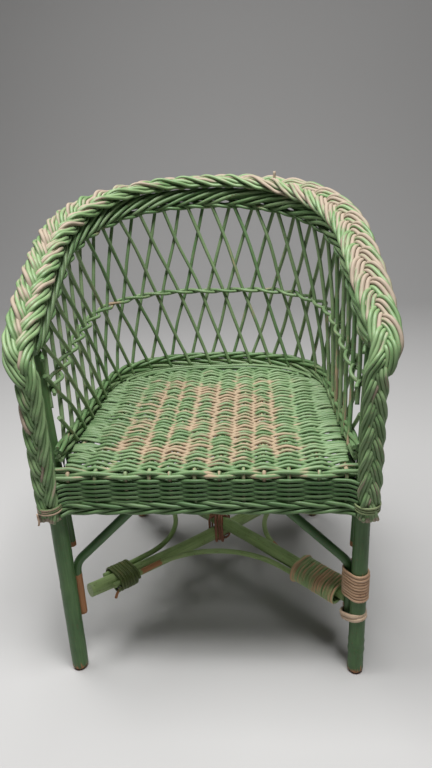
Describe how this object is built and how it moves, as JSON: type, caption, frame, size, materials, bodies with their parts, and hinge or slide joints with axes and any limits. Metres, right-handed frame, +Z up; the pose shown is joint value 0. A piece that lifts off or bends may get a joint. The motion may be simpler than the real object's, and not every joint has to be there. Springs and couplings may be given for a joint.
{
  "type": "child wicker armchair",
  "caption": "Low armchair for a child: round stick frame with crossed stretchers, woven seat and front apron, lattice wall and plaited rim, in worn green paint.",
  "frame": {"origin": "middle of the chair's footprint, on the floor under the feet", "axes": "+X to the viewer's right when facing the chair's open front, the open front faces -Y, +Z is up"},
  "size_m": [0.3742, 0.3654, 0.5288],
  "materials": {
    "frame_sticks": "worn thin green paint over peeled round sticks, bare wood where rubbed",
    "seat_rods": "faded green paint worn to tan willow on the crowns of the weave",
    "apron_rods": "green paint over willow rods, a little worn along the upper edge",
    "wall_rods": "green paint over willow rods, patchy sheen",
    "rim_rods": "faded green paint, worn to tan willow on top of the arms",
    "cane_binding": "bare pinkish brown split cane with remains of green paint",
    "cane_tie": "thin split cane, half painted",
    "nail": "rusty small nail"
  },
  "bodies": {
    "root": {"apron_border": "apron_rods", "arm_post_left": "frame_sticks", "arm_post_right": "frame_sticks", "back_arch": "frame_sticks", "back_leg_left": "frame_sticks", "back_leg_right": "frame_sticks", "border_roll": "rim_rods", "bow_back": "frame_sticks", "bow_front": "frame_sticks", "bow_left": "frame_sticks", "bow_right": "frame_sticks", "bow_wrap_back_left": "cane_binding", "bow_wrap_back_right": "cane_binding", "bow_wrap_front_left": "cane_binding", "bow_wrap_front_right": "cane_binding", "braid_tie_left": "cane_tie", "braid_tie_right": "cane_tie", "frame_nails": "nail", "front_apron": "apron_rods", "front_arch": "frame_sticks", "front_leg_left": "frame_sticks", "front_leg_right": "frame_sticks", "front_rail": "frame_sticks", "lattice_inner_back": "wall_rods", "lattice_inner_left": "wall_rods", "lattice_inner_right": "wall_rods", "lattice_outer_back": "wall_rods", "lattice_outer_left": "wall_rods", "lattice_outer_right": "wall_rods", "leg_knot_back_left": "cane_binding", "leg_knot_back_right": "cane_binding", "leg_knot_front_right": "cane_binding", "leg_wrap_back_left": "cane_binding", "leg_wrap_back_right": "cane_binding", "leg_wrap_front_right": "cane_binding", "mid_wale": "wall_rods", "rim_braid": "rim_rods", "rim_hoop": "frame_sticks", "seat_band_lower": "wall_rods", "seat_band_upper": "wall_rods", "seat_hoop": "frame_sticks", "seat_stakes": "seat_rods", "seat_weave": "seat_rods", "stretcher_lashing": "cane_binding", "stretcher_left": "frame_sticks", "stretcher_right": "frame_sticks", "upper_wale": "wall_rods"}
  },
  "joints": []
}
